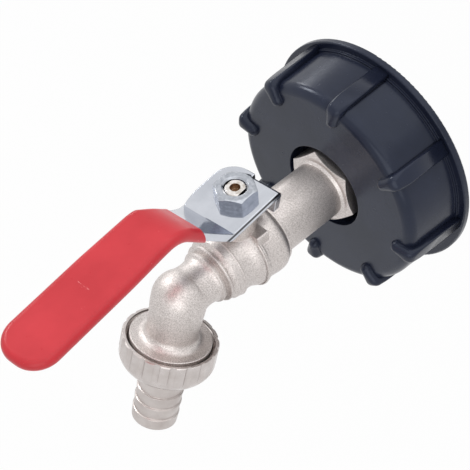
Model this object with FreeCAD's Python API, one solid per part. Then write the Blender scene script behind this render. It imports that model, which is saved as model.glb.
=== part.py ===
import FreeCAD, Part
import math
import os

# Ball valve with a hose outlet and a screw cap for the outlet of an intermediate bulk container.
# Millimetres. The origin is the centre of the cap's open mouth. +Y points into the tank, -Y out of the valve,
# +Z up along the valve's stem and +X to the right seen from the front. The pipe runs along Y through the origin.
# "Out" below is a distance from the mouth plane along -Y; "down" is a distance along the outlet leg's axis.

V = FreeCAD.Vector
OUTWARD = FreeCAD.Rotation(V(1, 0, 0), 90)

# Driving sizes of the plastic cap
FLANGE_R = 41.0
FLANGE_T = 2.4
LEDGE_R = 38.5
LEDGE_T = 0.9
CAP_WALL_R = 37.7
CAP_FACE_R = 37.0
CAP_HEIGHT = 23.4
CAP_FACE_T = 4.0
CAP_EDGE_ROUND = 3.4
TANK_THREAD_R = 30.0
MOUTH_CLEARANCE = 0.6
MOUTH_DEPTH = 3.6
RECESS_R = 15.1
RECESS_DEPTH = 10.0
CUP_WALL = 3.1
CUP_FLOOR = 3.0
BOSS_LENGTH = 6.4
BOSS_WALL = 3.0
GRIP_BARS = 8
GRIP_BAR_R = 2.7
GRIP_BAR_PHASE = -8.0
GRIP_BAR_SINK = 0.7
BAR_WALL = 1.0
DROP_LENGTH = 4.2
DROP_TIP_R = 2.1

# Driving sizes of the seals at the cap
TANK_GASKET_T = 3.0
TANK_GASKET_CUP_GAP = 4.0
TANK_GASKET_CLEARANCE = 0.4
HEX_WASHER_T = 2.0
HEX_WASHER_WIDTH = 3.0

# Driving sizes of the inlet connector
INLET_THREAD_R = 10.4
THREAD_CLEARANCE = 0.15
HEX_AF = 23.8
HEX_LENGTH = 9.3
HEX_PHASE = -15.25
HEX_CHAMFER = 1.2
NECK_R = 9.72
NECK_LENGTH = 24.6
NECK_FILLET = 0.8
INLET_BORE_R = 7.2
SPIGOT_THREAD_R = 10.0
BODY_RING_T = 0.9
BODY_RING_WIDTH = 1.4

# Driving sizes of the ball and its seats
BALL_R = 7.5
PORT_R = 4.5
SEAT_CLEARANCE = 0.1
SEAT_DEPTH = 1.8
SEAT_SETBACK = 0.8
CAVITY_CLEARANCE = 1.0
SLOT_WIDTH = 3.2
SLOT_DEPTH = 2.3
SLOT_CLEARANCE = 0.1

# Driving sizes of the valve body; the lengths run along the pipe, each from the edge before it
BODY_LIP_R = 11.3
BODY_LIP_T = 0.8
LIP_RISE = 1.1
BARREL_R = 12.5
BARREL_BULGE = 0.15
BODY_TO_STEM = 11.2
BAND_BACK = 1.0
BAND_WIDTH = 1.5
BAND_PROUD = 0.35
FALL_LENGTH = 4.4
WAIST_R = 10.75
WAIST_LENGTH = 3.0
STEP_LENGTH = 2.9
STEP_PROUD = 0.35
STEP_FLAT = 0.8
SHOULDER_LENGTH = 1.2
COLLAR_R = 9.85
COLLAR_LENGTH = 1.7
COLLAR_EDGE = 0.4
BEAD_GAP = 1.0
BEAD_R = 8.75
BEAD_WIDTH = 1.0
BEAD_FALL = 1.4
SPOUT_R = 7.85
SPOUT_LENGTH = 8.6
CAST_EDGE = 0.3
PASSAGE_R = 5.0
ELBOW_R = 8.75
ELBOW_PROUD = 0.02
LEG_ANGLE = 20.4
LEG_R = 8.1
LEG_STRAIGHT = 9.6
SPIGOT_TOP = 15.2
SPIGOT_FLARE = 2.6
SPIGOT_R = 13.1
SPIGOT_LENGTH = 6.0
SPIGOT_CHAMFER = 0.6

# Driving sizes of the stem's boss with its stops
BOSS_R = 5.6
STOP_SIDE_GAP = 0.2
STOP_TOP_GAP = 0.8
STOP_HEIGHT = 3.0
STOP_CORNER_R = 1.0
LUG_INNER = 3.0
LUG_OUTER = 9.0
LUG_SINK = 0.3
LUG_WIDTH = 4.5
LUG_ROUND = 0.6

# Driving sizes of the stem
STEM_R = 4.0
STEM_RUNNING = 0.08
STEM_FOOT_R = 4.6
STEM_FOOT_T = 1.3
STEM_FOOT_GAP = 0.2
TANG_WIDTH = 7.0
THRUST_WASHER_T = 0.6
FOOT_CLEARANCE = 0.2
RING_SECTION_R = 0.5
RING_GROOVE_WIDTH = 1.3
RING_RISE = 3.0
RING_SPACING = 4.8
RING_COUNT = 2
STEM_END_R = 3.5
STEM_FLATS = 5.5
STEM_BELOW_NUT = 0.4
STEM_END_CHAMFER = 0.5
CENTRE_HOLE_R = 1.6
CENTRE_HOLE_DEPTH = 2.2

# Driving sizes of the lever, measured from the stem's axis along the lever
# "Near" is the side towards the front right, "far" the side towards the cap; halves are measured from the middle.
LEVER_REST_TURN = 6.2
SHEET_T = 2.4
PLATE_TOP = 25.1
HEAD_BACK = 9.4
HEAD_EDGE = 10.0
HEAD_NEAR_HALF = 9.7
HEAD_FAR_HALF = 10.8
HEAD_CORNER_R = 7.0
HEAD_STRAIGHT = 3.8
FOLD_AT = 12.8
FOLD_FAR_HALF = 9.35
FOLD_R = 0.2
RAMP_ANGLE = 41.9
NECK_AT = 26.0
NECK_NEAR_HALF = 8.4
NECK_FAR_HALF = 5.4
CREST_AT = 31.6
CREST_R = 12.0
CREST_FAR_HALF = 7.05
CREST_END = 34.2
CREST_END_HALF = 7.75
WAIST_AT = 36.0
WAIST_NEAR_HALF = 7.95
GRIP_SLOPE = 3.0
GRIP_HALF = 8.3
GRIP_FULL_AT = 54.0
LEVER_LENGTH = 87.3
TIP_ROUND = 7.3
SLEEVE_START = 23.6
SLEEVE_T = 0.9
SLEEVE_FIT = 0.02
SLEEVE_ROUND = 2.0
SLEEVE_ROUND_SHARE = 0.96
TAB_FROM = -0.8
TAB_HEIGHT = 8.4
TAB_TAPER = 1.3
TAB_BEND_R = 2.0
PLATE_HOLE_CLEARANCE = 0.05

# Driving sizes of the nut on the lever
LEVER_NUT_AF = 12.0
LEVER_NUT_T = 3.6
LEVER_NUT_PHASE = 33.0

# Driving sizes of the union nut and the hose tail
UNION_SETBACK = 0.4
UNION_WALL = 1.9
UNION_MOUTH_STEP = 0.75
UNION_MOUTH_DEPTH = 1.3
UNION_LIP_T = 1.6
UNION_SHOULDER = 3.7
UNION_BOW = 2.35
UNION_FLUTES = 19
FLUTE_PHASE = 1.4
FLUTE_R = 1.5
FLUTE_DEPTH = 0.55
TURNING_GAP = 0.35
TAIL_WASHER_T = 2.0
TAIL_WASHER_INSET = 0.9
TAIL_FLANGE_INSET = 1.1
TAIL_FLANGE_T = 1.3
TAIL_FACE_GAP = 0.05
TAIL_NECK_LENGTH = 6.05
TAIL_NECK_R = 7.4
BARB_R = 7.6
BARB_ROOT_R = 7.15
BARB_STEP = 0.3
BARB_PITCH = 4.55
BARB_COUNT = 4
TAIL_BORE_R = 5.0
TAIL_END_ROUND = 0.5

# Places and radii that follow from the sizes
MOUTH_R = TANK_THREAD_R + MOUTH_CLEARANCE
CUP_R = RECESS_R + CUP_WALL
RECESS_FLOOR = CAP_HEIGHT - RECESS_DEPTH
GASKET_SEAT = CAP_HEIGHT - CAP_FACE_T
CUP_INNER = RECESS_FLOOR - CUP_FLOOR
BOSS_END = CUP_INNER - BOSS_LENGTH
HEX_BACK = RECESS_FLOOR + HEX_WASHER_T
HEX_FRONT = HEX_BACK + HEX_LENGTH
BODY_START = HEX_FRONT + NECK_LENGTH
STEM_OUT = BODY_START + BODY_TO_STEM
BAND_OUT = STEM_OUT - BAND_BACK
BAND_END = BAND_OUT + BAND_WIDTH
WAIST_OUT = BAND_END + FALL_LENGTH
STEP_OUT = WAIST_OUT + WAIST_LENGTH
SHOULDER_OUT = STEP_OUT + STEP_LENGTH
COLLAR_OUT = SHOULDER_OUT + SHOULDER_LENGTH
COLLAR_END = COLLAR_OUT + COLLAR_LENGTH
BEAD_OUT = COLLAR_END + BEAD_GAP
BEAD_END = BEAD_OUT + BEAD_WIDTH
SPOUT_FROM = BEAD_END + BEAD_FALL
ELBOW_OUT = SPOUT_FROM + SPOUT_LENGTH
CAVITY_R = BALL_R + CAVITY_CLEARANCE
SEAT_BACK = BALL_R - SEAT_SETBACK
SLOT_FLOOR = BALL_R - SLOT_DEPTH
SEAT_INLET_FACE = STEM_OUT - SEAT_BACK
SEAT_OUTLET_FACE = STEM_OUT + SEAT_BACK
FOOT_BOTTOM = BALL_R + STEM_FOOT_GAP
FOOT_TOP = FOOT_BOTTOM + STEM_FOOT_T
FOOT_POCKET_R = STEM_FOOT_R + FOOT_CLEARANCE
POCKET_TOP = FOOT_TOP + THRUST_WASHER_T
RING_HEIGHTS = [POCKET_TOP + RING_RISE + k * RING_SPACING for k in range(RING_COUNT)]
PLATE_BOTTOM = PLATE_TOP - SHEET_T
STEM_TOP = PLATE_TOP + LEVER_NUT_T - STEM_BELOW_NUT
STOP_TOP = PLATE_BOTTOM - STOP_TOP_GAP
STOP_HALF = HEAD_BACK - SHEET_T - STOP_SIDE_GAP
TAB_BOTTOM = PLATE_TOP - TAB_HEIGHT
LUG_TOP = BARREL_R - LUG_SINK
SHEET_BLANK = 4 * HEAD_FAR_HALF
SPIGOT_END = SPIGOT_TOP + SPIGOT_LENGTH
TAIL_FLANGE_TOP = SPIGOT_END + TAIL_WASHER_T + TAIL_FACE_GAP
TAIL_FLANGE_END = TAIL_FLANGE_TOP + TAIL_FLANGE_T
UNION_TOP = SPIGOT_TOP + UNION_SETBACK
UNION_END = TAIL_FLANGE_END + TAIL_FACE_GAP + UNION_LIP_T
UNION_BORE_R = SPIGOT_R + TURNING_GAP
UNION_R = UNION_BORE_R + UNION_WALL
BARB_FIRST = TAIL_FLANGE_END + TAIL_NECK_LENGTH
TAIL_END = BARB_FIRST + BARB_COUNT * BARB_PITCH
STEM_AXIS = V(0, -STEM_OUT, 0)
ELBOW = V(0, -ELBOW_OUT, 0)


def revolved(points):
    """A solid turned about local Z from (radius, height) points."""
    wire = Part.makePolygon([V(r, 0, z) for r, z in points] + [V(points[0][0], 0, points[0][1])])
    return Part.Face(wire).revolve(V(0, 0, 0), V(0, 0, 1), 360)


def revolved_edges(edges):
    """A solid turned about local Z from a closed chain of edges in the XZ plane."""
    return Part.Face(Part.Wire(edges)).revolve(V(0, 0, 0), V(0, 0, 1), 360)


def segment(a, b):
    return Part.LineSegment(V(a[0], 0, a[1]), V(b[0], 0, b[1])).toShape()


def smooth_curve(points):
    """A smooth curve through (radius, height) points of the XZ plane."""
    curve = Part.BSplineCurve()
    curve.interpolate([V(r, 0, z) for r, z in points])
    return curve.toShape()


def ring(inner, outer, start, end):
    return revolved([(inner, start), (outer, start), (outer, end), (inner, end)])


def on_pipe(shape):
    """Turns a shape drawn along +Z so that its height runs outward along -Y."""
    moved = shape.copy()
    moved.Placement = FreeCAD.Placement(V(0, 0, 0), OUTWARD)
    return moved


def on_leg(shape):
    """Turns a shape drawn along +Z so that its height runs down the outlet leg from the elbow."""
    moved = shape.copy()
    moved.Placement = FreeCAD.Placement(ELBOW, FreeCAD.Rotation(V(1, 0, 0), 180 - LEG_ANGLE))
    return moved


def at_stem(shape):
    """Moves a shape drawn about the origin to the stem, turned as the lever stands at rest."""
    moved = shape.copy()
    moved.Placement = FreeCAD.Placement(STEM_AXIS, FreeCAD.Rotation(V(0, 0, 1), LEVER_REST_TURN))
    return moved


def hexagon(across_flats, phase, start, length):
    """A hexagonal prism along Z; its first corner lies at the phase angle."""
    corner = across_flats / math.sqrt(3)
    points = []
    for k in range(7):
        angle = math.radians(phase + 60 * k)
        points.append(V(corner * math.cos(angle), corner * math.sin(angle), start))
    return Part.Face(Part.makePolygon(points)).extrude(V(0, 0, length))


def crown(across_flats, start, end, chamfer, both=False):
    """The turned blank that takes the sharp corners off a hexagon's end face, or off both."""
    corner = across_flats / math.sqrt(3) + 0.1
    face = across_flats / 2 - 0.2
    slope = corner - face
    low = [(face, start), (corner, start + slope * 0.55)] if both else [(corner, start)]
    high = [(corner, end - min(chamfer, slope * 0.55)), (face, end)]
    return revolved([(0, start)] + low + high + [(0, end)])


def edges_where(shape, test):
    return [edge for edge in shape.Edges if test(edge)]


def circle_edge(edge, radius, height):
    """True for a circle of this radius at this local height."""
    curve = edge.Curve
    if not hasattr(curve, "Radius"):
        return False
    return abs(curve.Radius - radius) < 1e-4 and abs(curve.Center.z - height) < 1e-4


def cap_section():
    """The cap's wall, flange, face and recessed cup as one turned shell."""
    wall_start = FLANGE_T + LEDGE_T
    hole_r = INLET_THREAD_R + THREAD_CLEARANCE
    boss_r = hole_r + BOSS_WALL
    shell = revolved([
        (hole_r, BOSS_END), (boss_r, BOSS_END), (boss_r, CUP_INNER), (CUP_R, CUP_INNER),
        (CUP_R, GASKET_SEAT), (TANK_THREAD_R, GASKET_SEAT), (TANK_THREAD_R, MOUTH_DEPTH), (MOUTH_R, MOUTH_DEPTH),
        (MOUTH_R, 0), (FLANGE_R, 0), (FLANGE_R, FLANGE_T), (LEDGE_R, FLANGE_T),
        (LEDGE_R, wall_start), (CAP_WALL_R, wall_start), (CAP_FACE_R, CAP_HEIGHT), (RECESS_R, CAP_HEIGHT),
        (RECESS_R, RECESS_FLOOR), (hole_r, RECESS_FLOOR),
    ])
    shell = shell.makeFillet(CAP_EDGE_ROUND, edges_where(shell, lambda e: circle_edge(e, CAP_FACE_R, CAP_HEIGHT)))
    rim = edges_where(shell, lambda e: circle_edge(e, FLANGE_R, FLANGE_T) or circle_edge(e, FLANGE_R, 0))
    return shell.makeFillet(FLANGE_T / 5, rim)


def grip_bar():
    """One rounded bar on the cap's wall, with its drop-shaped end lying on the face, at angle 0."""
    foot = V(CAP_WALL_R - GRIP_BAR_SINK, 0, FLANGE_T)
    head = V(CAP_FACE_R - GRIP_BAR_SINK, 0, CAP_HEIGHT - GRIP_BAR_R / 3)
    run = head - foot
    bar = Part.makeCylinder(GRIP_BAR_R, run.Length, foot, run)
    knuckle = Part.makeSphere(GRIP_BAR_R, head)
    tip = V(head.x - DROP_LENGTH, 0, CAP_HEIGHT)
    slide = tip - head
    drop = Part.makeCone(GRIP_BAR_R * 0.97, DROP_TIP_R, slide.Length, head, slide)
    point = Part.makeSphere(DROP_TIP_R, tip)
    return bar.fuse([knuckle, drop, point])


def cap_shell():
    shell = cap_section()
    bars = []
    for k in range(GRIP_BARS):
        bar = grip_bar()
        bar.rotate(V(0, 0, 0), V(0, 0, 1), GRIP_BAR_PHASE + 360 * k / GRIP_BARS)
        bars.append(bar)
    inside = Part.makeCylinder(TANK_THREAD_R + BAR_WALL, GASKET_SEAT)
    return on_pipe(shell.fuse([bar.cut(inside) for bar in bars]).removeSplitter())


def tank_gasket():
    inner = CUP_R + TANK_GASKET_CUP_GAP
    outer = TANK_THREAD_R - TANK_GASKET_CLEARANCE
    return on_pipe(ring(inner, outer, GASKET_SEAT - TANK_GASKET_T, GASKET_SEAT))


def hex_washer():
    inner = INLET_THREAD_R + THREAD_CLEARANCE
    return on_pipe(ring(inner, inner + HEX_WASHER_WIDTH, RECESS_FLOOR, HEX_BACK))


def inlet_connector():
    """Male thread into the cap, hexagon, round neck and the threaded spigot that closes the valve body."""
    stub = revolved([
        (0, BOSS_END), (INLET_THREAD_R - 1, BOSS_END), (INLET_THREAD_R, BOSS_END + 1), (INLET_THREAD_R, HEX_BACK),
        (NECK_R, HEX_BACK), (NECK_R, BODY_START), (SPIGOT_THREAD_R, BODY_START),
        (SPIGOT_THREAD_R, SEAT_INLET_FACE), (0, SEAT_INLET_FACE),
    ])
    flats = hexagon(HEX_AF, HEX_PHASE, HEX_BACK, HEX_LENGTH)
    flats = flats.common(crown(HEX_AF, HEX_BACK, HEX_FRONT, HEX_CHAMFER))
    flare = revolved([
        (0, HEX_FRONT), (NECK_R + NECK_FILLET, HEX_FRONT), (NECK_R, HEX_FRONT + NECK_FILLET),
        (0, HEX_FRONT + NECK_FILLET),
    ])
    bore = revolved([
        (0, BOSS_END - 1), (INLET_BORE_R, BOSS_END - 1), (INLET_BORE_R, HEX_FRONT + NECK_LENGTH / 2),
        (PORT_R, BODY_START), (PORT_R, SEAT_INLET_FACE + 1), (0, SEAT_INLET_FACE + 1),
    ])
    return on_pipe(stub.fuse([flats, flare]).cut(bore).removeSplitter())


def body_ring():
    """The flat sealing ring squeezed between the neck's spigot and the valve body."""
    outer = CAVITY_R + BODY_RING_WIDTH
    return on_pipe(ring(CAVITY_R, outer, SEAT_INLET_FACE, SEAT_INLET_FACE + BODY_RING_T))


def seat_ring(side):
    """A soft seat hollowed to the ball; side is -1 for the inlet and +1 for the outlet."""
    back = STEM_OUT + side * SEAT_BACK
    front = back - side * SEAT_DEPTH
    blank = on_pipe(ring(PORT_R + 0.2, CAVITY_R - SEAT_CLEARANCE, min(back, front), max(back, front)))
    return blank.cut(Part.makeSphere(BALL_R + SEAT_CLEARANCE, STEM_AXIS))


def ball():
    sphere = Part.makeSphere(BALL_R)
    port = Part.makeCylinder(PORT_R, 4 * BALL_R, V(0, 2 * BALL_R, 0), V(0, -1, 0))
    slot = Part.makeBox(4 * BALL_R, SLOT_WIDTH, BALL_R, V(-2 * BALL_R, -SLOT_WIDTH / 2, SLOT_FLOOR))
    return at_stem(sphere.cut(port).cut(slot))


def body_outline():
    """The turned outside of the valve body from its open end to the start of the spout."""
    lip_end = BODY_START + BODY_LIP_T
    middle = (BODY_START + BAND_OUT) / 2
    drop = BARREL_R - WAIST_R
    barrel = smooth_curve([
        (BODY_LIP_R, lip_end), (BARREL_R - CAST_EDGE, lip_end + LIP_RISE), (BARREL_R + BARREL_BULGE, middle),
        (BARREL_R, BAND_OUT),
    ])
    band_r = BARREL_R + BAND_PROUD
    fall = smooth_curve([
        (BARREL_R - drop * 0.09, BAND_END), (BARREL_R - drop * 0.34, BAND_END + FALL_LENGTH * 0.36),
        (WAIST_R + drop * 0.11, WAIST_OUT - FALL_LENGTH * 0.2), (WAIST_R, WAIST_OUT), (WAIST_R, STEP_OUT),
    ])
    spout = smooth_curve([
        (BEAD_R, BEAD_END), (SPOUT_R + CAST_EDGE, BEAD_END + BEAD_FALL * 0.43), (SPOUT_R, SPOUT_FROM),
        (SPOUT_R, (SPOUT_FROM + ELBOW_OUT) / 2), (ELBOW_R, ELBOW_OUT),
    ])
    step_r = WAIST_R + STEP_PROUD
    step_end = STEP_OUT + STEP_FLAT
    return revolved_edges([
        segment((0, BODY_START), (BODY_LIP_R, BODY_START)),
        segment((BODY_LIP_R, BODY_START), (BODY_LIP_R, lip_end)),
        barrel,
        segment((BARREL_R, BAND_OUT), (band_r, BAND_OUT + CAST_EDGE)),
        segment((band_r, BAND_OUT + CAST_EDGE), (band_r, BAND_END - CAST_EDGE)),
        segment((band_r, BAND_END - CAST_EDGE), (BARREL_R - drop * 0.09, BAND_END)),
        fall,
        segment((WAIST_R, STEP_OUT), (step_r, STEP_OUT + STEP_FLAT / 4)),
        segment((step_r, STEP_OUT + STEP_FLAT / 4), (step_r, step_end)),
        segment((step_r, step_end), (WAIST_R, SHOULDER_OUT)),
        segment((WAIST_R, SHOULDER_OUT), (COLLAR_R - COLLAR_EDGE, COLLAR_OUT)),
        segment((COLLAR_R - COLLAR_EDGE, COLLAR_OUT), (COLLAR_R, COLLAR_OUT + COLLAR_EDGE)),
        segment((COLLAR_R, COLLAR_OUT + COLLAR_EDGE), (COLLAR_R, COLLAR_END - COLLAR_EDGE)),
        segment((COLLAR_R, COLLAR_END - COLLAR_EDGE), (BEAD_R - CAST_EDGE, COLLAR_END)),
        segment((BEAD_R - CAST_EDGE, COLLAR_END), (BEAD_R, BEAD_OUT)),
        segment((BEAD_R, BEAD_OUT), (BEAD_R, BEAD_END)),
        spout,
        segment((ELBOW_R, ELBOW_OUT), (0, ELBOW_OUT)),
        segment((0, ELBOW_OUT), (0, BODY_START)),
    ])


def outlet_leg():
    """The leg from the elbow down to the threaded spigot for the union nut."""
    flare_start = SPIGOT_TOP - SPIGOT_FLARE
    leg = smooth_curve([
        (ELBOW_R, 0), (ELBOW_R - 0.15, LEG_STRAIGHT / 2), (LEG_R + 0.1, LEG_STRAIGHT), (LEG_R, flare_start),
    ])
    quarter = V(LEG_R + SPIGOT_FLARE * 0.29, 0, SPIGOT_TOP - SPIGOT_FLARE * 0.29)
    flare = Part.Arc(V(LEG_R, 0, flare_start), quarter, V(LEG_R + SPIGOT_FLARE, 0, SPIGOT_TOP)).toShape()
    solid = revolved_edges([
        segment((0, 0), (ELBOW_R, 0)),
        leg,
        flare,
        segment((LEG_R + SPIGOT_FLARE, SPIGOT_TOP), (SPIGOT_R - 0.2, SPIGOT_TOP)),
        segment((SPIGOT_R - 0.2, SPIGOT_TOP), (SPIGOT_R, SPIGOT_TOP + 0.2)),
        segment((SPIGOT_R, SPIGOT_TOP + 0.2), (SPIGOT_R, SPIGOT_END - SPIGOT_CHAMFER)),
        segment((SPIGOT_R, SPIGOT_END - SPIGOT_CHAMFER), (SPIGOT_R - SPIGOT_CHAMFER, SPIGOT_END)),
        segment((SPIGOT_R - SPIGOT_CHAMFER, SPIGOT_END), (0, SPIGOT_END)),
        segment((0, SPIGOT_END), (0, 0)),
    ])
    return on_leg(solid)


def stop_head():
    """The square head on the stem's boss; the lever's tab swings round its one turned-off corner."""
    half = STOP_HALF
    bottom = STOP_TOP - STOP_HEIGHT
    square = Part.makeBox(2 * half, 2 * half, STOP_HEIGHT, V(-half, -half, bottom))
    upright = edges_where(square, lambda e: e.BoundBox.ZLength > STOP_HEIGHT / 2)
    others = [e for e in upright if not (e.BoundBox.XMax < 0 and e.BoundBox.YMin > 0)]
    square = square.makeFillet(STOP_CORNER_R, others)
    quadrant = Part.makeBox(2 * half, 2 * half, STOP_HEIGHT, V(-2 * half, 0, bottom))
    turned = Part.makeCylinder(half, STOP_HEIGHT, V(0, 0, bottom))
    square = square.cut(quadrant.cut(turned))
    square.translate(STEM_AXIS)
    return square


def stem_boss():
    """The round boss that carries the stem and the stops."""
    boss = Part.makeCylinder(BOSS_R, STOP_TOP - STOP_HEIGHT / 2)
    boss.translate(STEM_AXIS)
    return boss


def side_lugs():
    """A lug each side of the boss, flush with the front of the band round the barrel."""
    front = -BAND_END
    lugs = []
    for side in (-1, 1):
        start = LUG_INNER if side > 0 else -LUG_OUTER
        lug = Part.makeBox(LUG_OUTER - LUG_INNER, LUG_WIDTH, LUG_TOP, V(start, front, 0))
        outer = edges_where(lug, lambda e: abs(e.BoundBox.Center.x - side * LUG_OUTER) < 1e-4
                            and abs(e.BoundBox.ZMin - LUG_TOP) < 1e-4)
        lugs.append(lug.makeFillet(LUG_ROUND, outer))
    return lugs


def valve_body():
    corner = Part.makeSphere(ELBOW_R + ELBOW_PROUD, ELBOW)
    solid = on_pipe(body_outline()).fuse([outlet_leg(), corner, stem_boss(), stop_head()] + side_lugs())
    thread_r = SPIGOT_THREAD_R + THREAD_CLEARANCE
    chamber = on_pipe(revolved([
        (0, BODY_START - 1), (thread_r, BODY_START - 1), (thread_r, SEAT_INLET_FACE + BODY_RING_T),
        (CAVITY_R, SEAT_INLET_FACE + BODY_RING_T), (CAVITY_R, SEAT_OUTLET_FACE), (PORT_R, SEAT_OUTLET_FACE),
        (PORT_R, COLLAR_OUT), (PASSAGE_R, COLLAR_END), (PASSAGE_R, ELBOW_OUT), (0, ELBOW_OUT),
    ]))
    drop = on_leg(Part.makeCylinder(PASSAGE_R, SPIGOT_END + 1))
    turn = Part.makeSphere(PASSAGE_R, ELBOW)
    stem_hole = revolved([
        (0, 0), (FOOT_POCKET_R, 0), (FOOT_POCKET_R, POCKET_TOP), (STEM_R + STEM_RUNNING, POCKET_TOP),
        (STEM_R + STEM_RUNNING, STOP_TOP - 0.4), (STEM_R + STEM_RUNNING + 0.5, STOP_TOP + 0.1), (0, STOP_TOP + 0.1),
    ])
    stem_hole.translate(STEM_AXIS)
    return solid.cut([chamber, drop, turn, stem_hole]).removeSplitter()


def stem():
    """Foot with its tang in the ball, sealed shaft, and the flatted threaded end for the lever."""
    shaft = revolved([
        (0, FOOT_BOTTOM), (STEM_FOOT_R, FOOT_BOTTOM), (STEM_FOOT_R, FOOT_TOP), (STEM_R, FOOT_TOP),
        (STEM_R, PLATE_BOTTOM), (STEM_END_R, PLATE_BOTTOM), (STEM_END_R, STEM_TOP - STEM_END_CHAMFER),
        (STEM_END_R - STEM_END_CHAMFER, STEM_TOP), (CENTRE_HOLE_R, STEM_TOP),
        (CENTRE_HOLE_R, STEM_TOP - CENTRE_HOLE_DEPTH), (0, STEM_TOP - CENTRE_HOLE_DEPTH),
    ])
    for height in RING_HEIGHTS:
        groove = ring(STEM_R - 2 * RING_SECTION_R, STEM_R + 1, height - RING_GROOVE_WIDTH / 2,
                      height + RING_GROOVE_WIDTH / 2)
        shaft = shaft.cut(groove)
    flat_height = STEM_TOP - PLATE_BOTTOM + 1
    for side in (-1, 1):
        start = STEM_FLATS / 2 if side > 0 else -STEM_FLATS / 2 - STEM_R
        shaft = shaft.cut(Part.makeBox(STEM_R, 4 * STEM_R, flat_height, V(start, -2 * STEM_R, PLATE_BOTTOM)))
    tang_t = SLOT_WIDTH - 2 * SLOT_CLEARANCE
    tang = Part.makeBox(TANG_WIDTH, tang_t, FOOT_BOTTOM - SLOT_FLOOR, V(-TANG_WIDTH / 2, -tang_t / 2,
                                                                      SLOT_FLOOR + SLOT_CLEARANCE))
    tang = tang.common(Part.makeCylinder(STEM_FOOT_R, FOOT_TOP))
    return at_stem(shaft.fuse(tang).removeSplitter())


def thrust_washer():
    washer = ring(STEM_R + STEM_RUNNING, STEM_FOOT_R, FOOT_TOP + STEM_RUNNING, POCKET_TOP)
    washer.translate(STEM_AXIS)
    return washer


def stem_rings():
    """Two round sealing rings in the stem's grooves."""
    centre_r = STEM_R + STEM_RUNNING / 2 - RING_SECTION_R
    rings = [Part.makeTorus(centre_r, RING_SECTION_R, V(0, 0, height)) for height in RING_HEIGHTS]
    return Part.makeCompound([at_stem(shape) for shape in rings])


def bend_points(offset):
    """Corner points of the lever's side view, shifted up from the sheet's middle by an offset."""
    ramp = math.radians(RAMP_ANGLE)
    grip = math.radians(-GRIP_SLOPE)
    middle = PLATE_TOP - SHEET_T / 2
    crest_z = middle + (CREST_AT - FOLD_AT) * math.tan(ramp)
    reach = LEVER_LENGTH + 2 * HEAD_BACK
    tip_z = crest_z + (reach - CREST_AT) * math.tan(grip)
    plain = [(-2 * HEAD_BACK, middle), (FOLD_AT, middle), (CREST_AT, crest_z), (reach, tip_z)]
    angles = [0.0, ramp, grip]
    points = [(plain[0][0], plain[0][1] + offset)]
    for k in (1, 2):
        before, after = angles[k - 1], angles[k]
        half = (after - before) / 2
        normal = (before + after) / 2 + math.pi / 2
        length = offset / math.cos(half)
        points.append((plain[k][0] + length * math.cos(normal), plain[k][1] + length * math.sin(normal)))
    last = grip + math.pi / 2
    points.append((plain[3][0] + offset * math.cos(last), plain[3][1] + offset * math.sin(last)))
    return points


def rounded_corner(before, corner, after, radius):
    """Start, middle and end of the arc that rounds a corner of a side view."""
    to_before = V(before[0] - corner[0], before[1] - corner[1], 0).normalize()
    to_after = V(after[0] - corner[0], after[1] - corner[1], 0).normalize()
    half = to_before.getAngle(to_after) / 2
    spot = V(corner[0], corner[1], 0)
    start = spot + to_before * (radius / math.tan(half))
    end = spot + to_after * (radius / math.tan(half))
    axis = (to_before + to_after).normalize()
    middle = spot + axis * (radius / math.sin(half) - radius)
    return start, middle, end


def side_run(offset):
    """Edges of one face of the bent sheet, seen from the side, from the head to beyond the tip."""
    points = bend_points(offset)
    radii = (FOLD_R + SHEET_T / 2 + SLEEVE_T - offset, CREST_R + offset)
    edges = []
    cursor = V(points[0][0], points[0][1], 0)
    for k, radius in ((1, radii[0]), (2, radii[1])):
        start, middle, end = rounded_corner(points[k - 1], points[k], points[k + 1], radius)
        edges.append((cursor, start))
        edges.append((start, middle, end))
        cursor = end
    edges.append((cursor, V(points[3][0], points[3][1], 0)))
    return edges


def bent_sheet(upper, lower, width):
    """The sheet's bent side view drawn out sideways; the lever points along -Y."""
    def place(p):
        return V(-width / 2, -p.x, p.y)

    def draw(run):
        shapes = []
        for piece in run:
            if len(piece) == 2:
                shapes.append(Part.LineSegment(place(piece[0]), place(piece[1])).toShape())
            else:
                shapes.append(Part.Arc(place(piece[0]), place(piece[1]), place(piece[2])).toShape())
        return shapes

    top = side_run(upper)
    bottom = side_run(lower)
    ends = [
        Part.LineSegment(place(top[-1][-1]), place(bottom[-1][-1])).toShape(),
        Part.LineSegment(place(bottom[0][0]), place(top[0][0])).toShape(),
    ]
    wire = Part.Wire(Part.__sortEdges__(draw(top) + draw(bottom) + ends))
    return Part.Face(wire).extrude(V(width, 0, 0))


def side_curve(points, grow, side):
    """One long edge of the lever seen from above, through (along, half width) points moved out by an amount."""
    curve = Part.BSplineCurve()
    ahead = V(0, -1, 0)
    curve.interpolate([V(side * (half + grow), -along, 0) for along, half in points], InitialTangent=ahead,
                      FinalTangent=ahead)
    return curve.toShape()


def share(start, end, part):
    return start + (end - start) * part


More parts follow.
